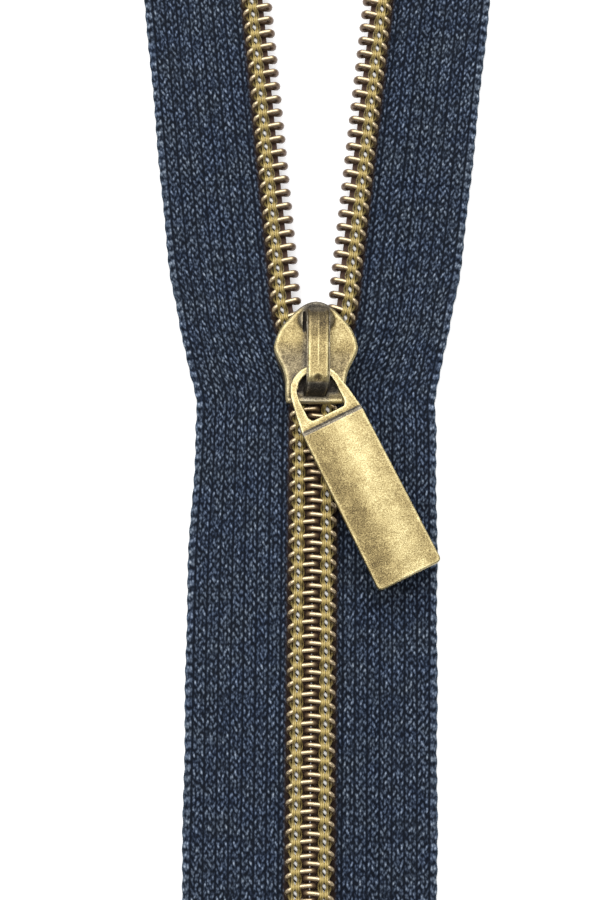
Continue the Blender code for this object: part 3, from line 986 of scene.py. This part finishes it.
def slider_solids(outline):
    """Both wings, the wedge post and flanges between them, and the hood at the nose."""
    post = POST_SIDE + [(-x, y) for x, y in reversed(POST_SIDE)]
    return [
        prism(outline, 0.0, BOTTOM_WING_TOP),
        prism(outline, TOP_WING_BASE, TOP_WING_TOP),
        prism(post, BOTTOM_WING_TOP - WING_OVERLAP, TOP_WING_BASE + WING_OVERLAP),
        flange(-1),
        flange(1),
        ellipsoid((0, HOOD_Y, HOOD_Z), HOOD_RADII),
    ]


def slider_relief(points, away, on_top):
    """Roll the rim over, sink the field and the rear, and cut the slot beside the bridge."""
    x, y, z = points.T
    rounded = 0.2 * np.clip(1 - away / 0.4, 0, 1) ** 2
    field = 0.03 * ease(away, 0.3, 0.8) * (1 - ease(z, 5.15, 5.4))
    rear = 0.12 * fade(y, 5.5, 6.2)
    points[:, 2] -= on_top * (rounded + field + rear)
    slot = fade(np.abs(x - SLOT_X), 0.1, 0.2) * ease(y, 13.9, 14.2) * fade(y, 16.4, 16.7)
    points[:, 2] -= slot * on_top * np.clip(z - SLOT_FLOOR, 0, 1)
    return slot


def slider_wear_and_painted_light(points, away, on_top, slot, wear_and_painted_light):
    """Wear and stain, with painted shade: a bright rim and lip; dark nose, hood, slot and foot of the bridge;
    painted shade inside the ring, on the left side and below the top face; darker towards the rear, lighter
    towards the nose.
    """
    x, y, z = points.T
    rim = bell(away, 0, 0.4) * on_top
    nose = ease(y, NOSE_Y - 1.6, NOSE_Y - 0.7)
    hood_across, hood_along, _ = HOOD_RADII
    hood = 1 - ease(np.hypot(x / hood_across, (y - HOOD_Y) / hood_along), 0.85, 1.05)
    # Painted shade on the top wing inside the pull's ring, behind the bridge
    painted_ring_shade = fade(np.abs(x), 2.4, 3.1) * ease(y, 5.9, 6.7) * fade(y, 8.0, 9.0) * on_top
    lip = fade(y, 5.4, 5.8) * (z > 0.5)
    foot = bell(np.clip(np.abs(x) - 1.35, 0, 9), 0, 0.35) * on_top
    # Painted shade: the left side a little darker than the right
    left = fade(x, -1.0, 1.0)
    # Darker towards the rear, lighter towards the nose
    darker_to_rear = 0.09 - 0.16 * ease(y, 10.0, 14.0)
    wear_and_painted_light = np.clip(wear_and_painted_light + 0.18 * rim * (1 - nose) + 0.25 * lip, 0, 1)
    # Painted shade: the left side and every face below the top one are darker
    stain_and_painted_shade = (darker_to_rear * (1 - rim) + 0.06 * left) * on_top + 0.2 * (1 - on_top)
    stain_and_painted_shade += 0.34 * painted_ring_shade + 0.12 * foot + 0.4 * slot
    stain_and_painted_shade += 0.2 * np.maximum(hood, nose * on_top)
    return wear_and_painted_light, stain_and_painted_shade


def make_slider(material):
    outline = slider_outline()
    points, faces, edges = fuse(slider_solids(outline))
    away = distance_to(points, outline)
    on_top = ease(points[:, 2], TOP_WING_TOP - 0.45, TOP_WING_TOP - 0.1)
    slot = slider_relief(points, away, on_top)
    wear_and_painted_light = edge_wear(points, faces, edges, CAST_WEAR)
    wear_and_painted_light, stain_and_painted_shade = slider_wear_and_painted_light(points, away, on_top, slot, wear_and_painted_light)
    points[:, 0] += SLIDER_LEAN * (points[:, 2] - LEAN_BASE)
    obj = piece("slider_casting", points, faces, material, {"wear_and_painted_light": wear_and_painted_light, "stain_and_painted_shade": stain_and_painted_shade})
    fit(obj, "slider", "slider_body")


def bridge_relief(x, y, from_dimple):
    """Height of the strap's outer face: rounded sides, a trough, a centre ridge and a dimple."""
    rounded = 0.22 * np.clip((np.abs(x) - 1.0) / 0.4, 0, 1) ** 2
    trough = 0.035 * (1 - ease(np.abs(x), 0.7, 1.05))
    ridge = 0.05 * bell(x, 0, 0.09) * ease(y, 9.0, 9.4) * fade(y, 15.9, 16.3)
    dimple = 0.13 * (1 - ease(from_dimple, 0.1, 0.6))
    lip = 0.03 * bell(from_dimple, 0.66, 0.14)
    return ridge + lip - rounded - trough - dimple


def bridge_wear_and_painted_light(points, normal, outside, from_dimple, wear_and_painted_light):
    """Edge wear, with painted highlights along both edges and the centre line, and painted shade on the front and
    rear slopes, in the dimple, on the flanks and underneath.
    """
    x, y, _ = points.T
    sides = ease(np.abs(x), 0.95, 1.15) * fade(np.abs(x), 1.2, 1.4)
    front = ease(y, 12.0, 16.0)
    line = bell(x, 0, 0.09) * ease(y, 9.0, 9.4)
    pit = 1 - ease(from_dimple, 0.2, 0.6)
    rear = fade(y, 6.8, 7.4)
    flank = ease(np.abs(normal[:, 0]), 0.5, 0.9)
    # Painted highlights on the edges and centre line; painted shade on the front slope and in the dimple
    wear_and_painted_light = wear_and_painted_light + (0.25 * sides * (1 - front) + 0.3 * line * (1 - 0.5 * front)) * outside
    wear_and_painted_light = np.clip(wear_and_painted_light, 0, 1) - (0.4 * front + 0.25 * pit) * outside
    # Painted shade on the rear slope, the front, the flanks and the underside
    stain_and_painted_shade = 0.42 * rear + 0.06 * front + 0.25 * flank + 0.02 + 0.2 * (normal[:, 2] < -0.3)
    return wear_and_painted_light, stain_and_painted_shade


def make_bridge(material):
    profile = [tuple(p) for p in spline(BRIDGE_OUTER, 5)] + BRIDGE_INNER
    points, faces, edges = fuse([side_prism(profile, -BRIDGE_HALF_WIDTH, BRIDGE_HALF_WIDTH)])
    x, y, z = points.T
    normal = vertex_normals(points, faces)
    outward = (y - BRIDGE_MIDDLE_Y) * normal[:, 1] > 0
    facing = np.maximum(normal[:, 2], np.abs(normal[:, 1]) * outward)
    outside = ease(facing, 0.3, 0.75) * ((z > 7.42) | (y < 6.95) | (y > 15.35))
    from_dimple = np.hypot(x, y - DIMPLE_Y)
    points += normal * (outside * bridge_relief(x, y, from_dimple))[:, None]
    wear_and_painted_light = edge_wear(points, faces, edges, CAST_WEAR)
    wear_and_painted_light, stain_and_painted_shade = bridge_wear_and_painted_light(points, normal, outside, from_dimple, wear_and_painted_light)
    beside_leg = fade(y, 6.8, 7.4) * fade(z, 6.1, 6.9)
    points[:, 0] += BRIDGE_LEAN * (z - LEAN_BASE) - ROOM_FOR_LEG * beside_leg
    obj = piece("bridge_casting", points, faces, material, {"wear_and_painted_light": wear_and_painted_light, "stain_and_painted_shade": stain_and_painted_shade})
    fit(obj, "slider", "slider_bridge")


# Pull


def pull_frame():
    """The pull's own axes at rest, from its joint: x along the cross bar and z up, in mm."""
    joint = JOINTS["pull_flip"]
    x = -Vector(joint["axis"]).normalized()
    y = Vector((0, 0, 1)).cross(x)
    low = box_mm("pull_tab")[0][2]
    middle = joint["pos_m"][2] / MM
    tilt = asin((middle - PLATE_TOP - low) / (-PLATE_FAR))
    turn = Matrix((x, y, (0, 0, 1))).transposed()
    turn = turn @ Matrix.Rotation(tilt, 3, "X")
    return np.array(turn), np.array(joint["pos_m"]) / MM


def place_pull(points):
    turn, origin = pull_frame()
    return points @ turn.T + origin


def leg(side):
    """One leg of the ring in plan, from the end of the arch to the bar beside the plate."""
    bar_low, bar_high = RING_BAR
    outline = [tuple(p) for p in spline(LEG_OUTER, 6)]
    outline += [(0.0, bar_low), (0.0, bar_high), (2.1, bar_high)]
    outline += [tuple(p) for p in spline(LEG_INNER, 6)]
    return [(side * x, y) for x, y in outline]


def pull_solids():
    """The plate with its rounded far corners, and the ring's two legs with their shoulders."""
    corner_y = PLATE_FAR + PLATE_CORNER
    plate_side = [
        (PLATE_NEAR, -RING_TOP),
        (PLATE_NEAR, RING_TOP),
        (PLATE_NEAR - 0.4, PLATE_TOP),
        (corner_y, PLATE_TOP),
        (corner_y, -PLATE_TOP),
        (PLATE_NEAR - 0.4, -PLATE_TOP),
    ]
    inset = PLATE_HALF_WIDTH - PLATE_CORNER
    end = [(-inset, PLATE_FAR), (inset, PLATE_FAR), (inset, PLATE_FAR + 1), (-inset, PLATE_FAR + 1)]
    shapes = [
        side_prism(plate_side, -PLATE_HALF_WIDTH, PLATE_HALF_WIDTH),
        prism(end, -PLATE_TOP, PLATE_TOP),
    ]
    shoulder_x, shoulder_y = ARCH[-2]
    for side in (-1, 1):
        shapes.append(disc(side * inset, corner_y, PLATE_CORNER, -PLATE_TOP, PLATE_TOP))
        shapes.append(disc(side * shoulder_x, shoulder_y, ARCH_HALF_WIDTH, -RING_TOP, RING_TOP))
        shapes.append(prism(leg(side), -RING_TOP, RING_TOP))
    return shapes


def plate_relief(x, y):
    """The plate's slight crown, and the low waves that pressing leaves on all its faces."""
    crown = 0.05 * (1 - (x / PLATE_HALF_WIDTH) ** 2) * (y < PLATE_NEAR - 0.6)
    waves = 0.012 * (np.sin(2.1 * x + 1.3 * np.sin(0.9 * y)) * np.sin(1.7 * y + 0.8 * x))
    return crown + waves


def pull_wear_and_painted_light(points, reach, wear_and_painted_light):
    """Edge wear, a painted highlight down the plate with painted shade low on its left, and painted shade on the
    chamfer and in the crease beside the ring.
    """
    x, y, z = points.T
    on_face = np.abs(z) > 0.3
    into = PLATE_NEAR - y
    out = x / PLATE_HALF_WIDTH
    # Painted shade on the chamfer at the plate's near end and in the crease beside the ring
    step = ease(into, -0.03, 0.06) * fade(into, 0.42, 0.5) * on_face
    line = bell(into, 0.5, 0.07) * on_face
    plate = ease(into, 0.3, 0.7)
    # A painted highlight in a broad band down the plate, right of middle, and painted shade low on its left
    painted_light_band = 0.36 * bell(out, 0.25, 0.62) * (1 - 0.2 * reach) - 0.13
    painted_shade_patch = 0.07 * bell(out, -0.55, 0.4) * bell(reach, 0.62, 0.2)
    wear_and_painted_light = np.clip(wear_and_painted_light, 0, 0.9) + 1.4 * plate * (painted_light_band - painted_shade_patch) + 0.15 * (1 - plate)
    return wear_and_painted_light, 0.36 * step + 0.5 * line


def make_pull(material):
    points, faces, edges = fuse(pull_solids())
    x, y, _ = points.T
    normal = vertex_normals(points, faces)
    wear_and_painted_light = edge_wear(points, faces, edges, STAMPED_WEAR)
    flat_faces = np.abs(normal[:, 2]) > 0.8
    points += normal * (plate_relief(x, y) * flat_faces)[:, None]
    reach = np.clip((PLATE_NEAR - y) / (PLATE_NEAR - PLATE_FAR), 0, 1)
    wear_and_painted_light, stain_and_painted_shade = pull_wear_and_painted_light(points, reach, wear_and_painted_light)
    near, added = PLATE_WIDENING
    points[:, 0] *= near + added * reach
    turned = place_pull(points)
    obj = piece("pull_casting", turned, faces, material, {"wear_and_painted_light": wear_and_painted_light, "stain_and_painted_shade": stain_and_painted_shade})
    fit(obj, "pull", "pull_tab")


def make_cross_bar(material):
    """The arch of the ring under the bridge, which the legs of the pull turn on."""
    path = spline(ARCH, 8)
    along = np.gradient(path, axis=0)
    along /= np.linalg.norm(along, axis=1)[:, None]
    outward = np.column_stack([-along[:, 1], along[:, 0]]) * ARCH_HALF_WIDTH
    outline = np.vstack([path + outward, (path - outward)[::-1]])
    shapes = [prism(outline, -ARCH_TOP, ARCH_TOP)]
    shapes += [disc(x, y, ARCH_HALF_WIDTH, -ARCH_TOP, ARCH_TOP) for x, y in (ARCH[0], ARCH[-1])]
    points, faces, edges = fuse(shapes)
    wear_and_painted_light = np.clip(edge_wear(points, faces, edges, STAMPED_WEAR), 0, 0.9) + 0.15
    finish = {"wear_and_painted_light": wear_and_painted_light, "stain_and_painted_shade": np.zeros(len(points))}
    obj = piece("cross_bar_arch", place_pull(points), faces, material, finish)
    fit(obj, "pull_bar", "pull_bar")


# Small fittings


def rounded_copy(node, name, width, material):
    """A CAD node's shape with its edges rolled over, as pressed metal has them."""
    mesh = frame["nodes"][node].data.copy()
    mesh.name = name
    holder = link(name, mesh)
    repair = bmesh.new()
    repair.from_mesh(mesh)
    bmesh.ops.remove_doubles(repair, verts=repair.verts, dist=0.000005)
    bmesh.ops.dissolve_limit(
        repair, angle_limit=radians(2), verts=repair.verts, edges=repair.edges
    )
    sharp = [e for e in repair.edges if e.is_manifold and e.calc_face_angle(0) > radians(25)]
    bmesh.ops.bevel(
        repair, geom=sharp, offset=width * MM, segments=3, profile=0.6, affect="EDGES"
    )
    bmesh.ops.triangulate(repair, faces=repair.faces)
    repair.to_mesh(mesh)
    repair.free()
    mesh.materials.clear()
    mesh.materials.append(material)
    mesh.shade_smooth()
    mesh.set_sharp_from_angle(angle=radians(50))
    for label, value in (("wear_and_painted_light", FITTING_WEAR), ("stain_and_painted_shade", FITTING_STAIN)):
        layer = mesh.attributes.new(label, "FLOAT", "POINT")
        layer.data.foreach_set("value", np.full(len(mesh.vertices), value, np.float32))
    return holder


def make_stops(material):
    for half in SIDES:
        node = f"top_stop_{half}"
        stop = rounded_copy(node, f"end_clamp_{half}", STOP_ROUNDING, material)
        fit(stop, f"upper_{half}", node)
    stop = rounded_copy("bottom_stop", "end_clamp_bottom", STOP_ROUNDING, material)
    fit(stop, "chain_base", "bottom_stop")


def make_spring(material):
    spring = rounded_copy("lock_spring", "lock_strip", SPRING_ROUNDING, material)
    for vertex in spring.data.vertices:
        vertex.co.x += BRIDGE_LEAN * (vertex.co.z - LEAN_BASE * MM)
    fit(spring, "lock_spring", "lock_spring")


# Room


def make_floor():
    """A pale sheet of paper that glows a little, so that it stays white."""
    shader = Shader("floor_paper")
    grain = shader.noise(shader.place(), 0.4, 2.0, 0.5)
    colour = shader.ramp(grain, [(0.0, (0.88, 0.88, 0.88)), (1.0, (0.92, 0.92, 0.92))])
    shader.surface(Base_Color=colour, Roughness=0.9)
    shader.main.inputs["Emission Color"].default_value = (1.0, 1.0, 1.0, 1.0)
    shader.main.inputs["Emission Strength"].default_value = FLOOR_GLOW
    mesh = bpy.data.meshes.new("floor")
    corners = [(-1, -1), (1, -1), (1, 1), (-1, 1)]
    places = [(x * FLOOR_HALF, y * FLOOR_HALF, -FLOOR_DROP) for x, y in corners]
    mesh.from_pydata(places, [], [(0, 1, 2, 3)])
    mesh.materials.append(shader.material)
    link("floor", mesh)


def make_light():
    """An even sky, and one large soft lamp overhead."""
    world = bpy.data.worlds.new("studio")
    world.use_nodes = True
    sky = world.node_tree.nodes["Background"]
    sky.inputs["Color"].default_value = WORLD_COLOUR
    sky.inputs["Strength"].default_value = WORLD_LIGHT
    bpy.context.scene.world = world
    lamp = bpy.data.lights.new("overhead", "AREA")
    lamp.shape = "RECTANGLE"
    lamp.size, lamp.size_y = LAMP_SIZE
    lamp.energy = LAMP_POWER
    holder = link("overhead", lamp)
    holder.location = LAMP_PLACE
    holder.rotation_mode = "QUATERNION"
    holder.rotation_quaternion = (-LAMP_PLACE).to_track_quat("-Z", "Y")
    bpy.context.scene.view_settings.view_transform = "Standard"


def make_camera():
    """The camera looks down from in front, from nearly straight above."""
    data = bpy.data.cameras.new("camera")
    data.sensor_width = 36.0
    data.lens = CAMERA_LENS
    data.clip_start, data.clip_end = 0.01, 10.0
    camera = link("camera", data)
    back = Vector((0, -cos(CAMERA_ELEVATION), sin(CAMERA_ELEVATION)))
    camera.location = CAMERA_AIM + CAMERA_DISTANCE * back
    camera.rotation_mode = "QUATERNION"
    upright = (-back).to_track_quat("-Z", "Y")
    roll = Matrix.Rotation(CAMERA_ROLL, 3, "Z").to_quaternion()
    camera.rotation_quaternion = upright @ roll
    bpy.context.scene.camera = camera


def make_chain():
    """Both halves of the zipper, stretch by stretch."""
    tape = knitted_tape()
    wire = coil_nylon()
    cord = twisted_yarn("core_yarn_plied", (0.10, 0.08, 0.04), (1.0, 0.98, 0.94), 0.3)
    thread = twisted_yarn("gold_thread_plied", (0.07, 0.052, 0.014), (0.66, 0.50, 0.17), 0.38)
    for half in SIDES:
        for stretch in STRETCHES:
            make_tape(half, stretch, tape)
            make_coil(half, stretch, wire)
            make_cord(half, stretch, cord)
            make_thread(half, stretch, thread)


make_floor()
make_light()
make_camera()
make_chain()
brass = antique_brass()
make_slider(brass)
make_bridge(brass)
make_pull(brass)
make_cross_bar(brass)
make_stops(brass)
make_spring(spring_steel())
